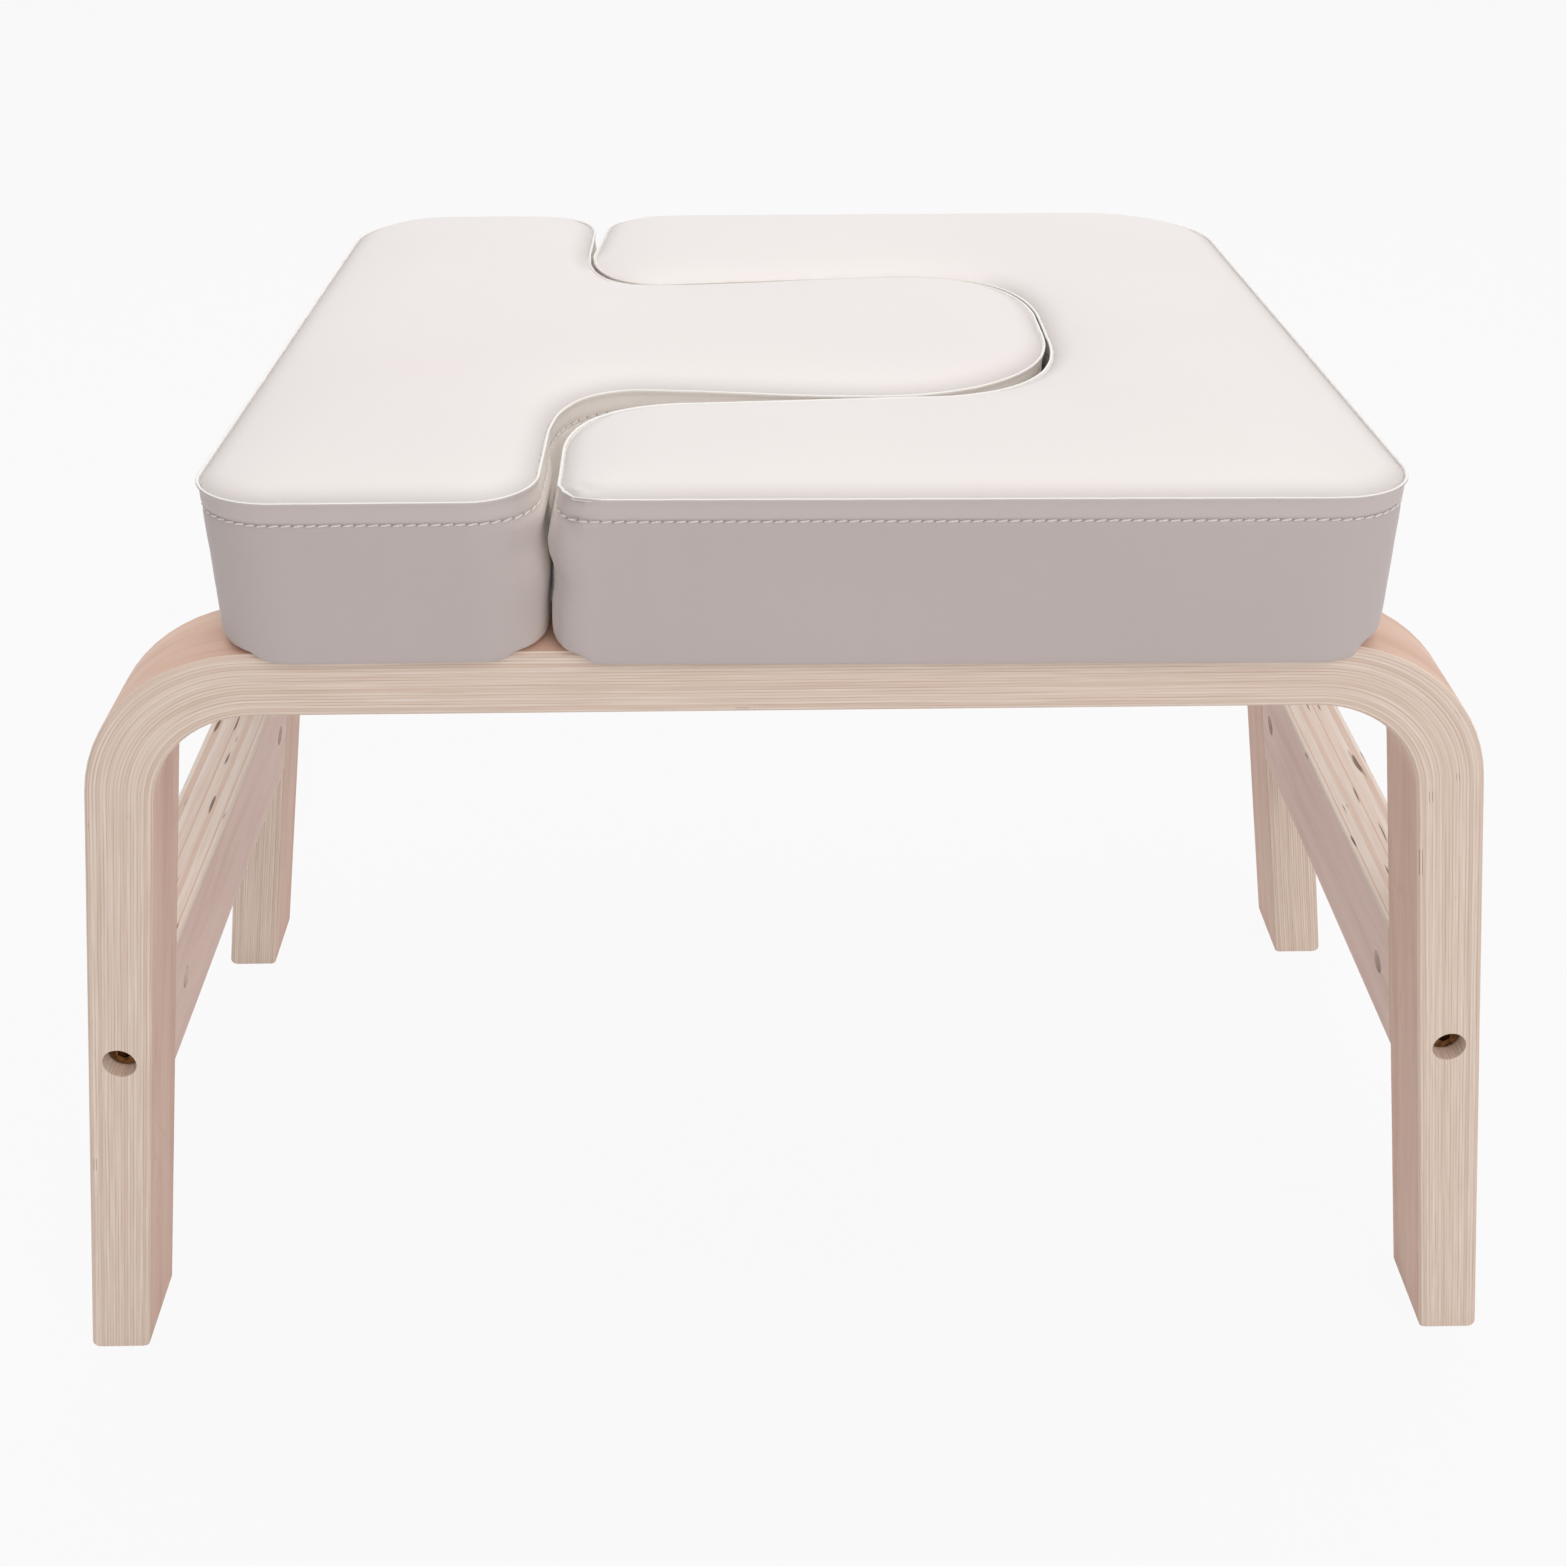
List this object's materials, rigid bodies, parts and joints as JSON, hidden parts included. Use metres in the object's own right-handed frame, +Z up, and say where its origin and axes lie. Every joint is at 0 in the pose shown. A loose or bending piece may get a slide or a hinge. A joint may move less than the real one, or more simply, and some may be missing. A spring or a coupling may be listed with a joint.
{
  "type": "yoga headstand stool",
  "caption": "Low bench with bent laminated wood frames and a cushioned top in interlocking halves that open a gap for the neck, for supported headstands.",
  "frame": {"origin": "on the floor, under the middle of the bent frames", "axes": "+X along the stool towards the shoulder pad's closed end, +Y towards the back frame, +Z up"},
  "size_m": [0.6188, 0.336, 0.4179],
  "materials": {
    "beech_laminate": "satin",
    "plywood": "satin",
    "bronze_steel": "satin",
    "zinc_steel": "satin",
    "cream_leather": "satin",
    "foam": "matte",
    "dust_cloth": "matte"
  },
  "bodies": {
    "stool": {"front_frame": "beech_laminate", "back_frame": "beech_laminate", "left_stretcher": "plywood", "right_stretcher": "plywood", "shoulder_pad_board": "plywood", "stretcher_bolt_front_left": "bronze_steel", "stretcher_bolt_back_left": "bronze_steel", "stretcher_bolt_front_right": "bronze_steel", "stretcher_bolt_back_right": "bronze_steel", "barrel_nut_front_left": "zinc_steel", "barrel_nut_back_left": "zinc_steel", "barrel_nut_front_right": "zinc_steel", "barrel_nut_back_right": "zinc_steel", "pad_bolt_front_1": "zinc_steel", "pad_bolt_front_2": "zinc_steel", "pad_bolt_back_1": "zinc_steel", "pad_bolt_back_2": "zinc_steel", "pad_washer_front_1": "zinc_steel", "pad_washer_front_2": "zinc_steel", "pad_washer_back_1": "zinc_steel", "pad_washer_back_2": "zinc_steel", "tee_nut_front_1": "zinc_steel", "tee_nut_front_2": "zinc_steel", "tee_nut_back_1": "zinc_steel", "tee_nut_back_2": "zinc_steel", "shoulder_pad_cover": "cream_leather", "shoulder_pad_foam": "foam", "shoulder_pad_dust_cloth": "dust_cloth"},
    "insert": {"insert_board": "plywood", "insert_foam": "foam", "insert_cover": "cream_leather", "insert_dust_cloth": "dust_cloth", "dowel_front_1": "beech_laminate", "dowel_front_2": "beech_laminate", "dowel_back_1": "beech_laminate", "dowel_back_2": "beech_laminate"}
  },
  "joints": [
    {"name": "insert_lift", "type": "slide", "parent": "stool", "child": "insert", "axis": [0, 0, 1], "range_m": [0, 0.15]}
  ]
}
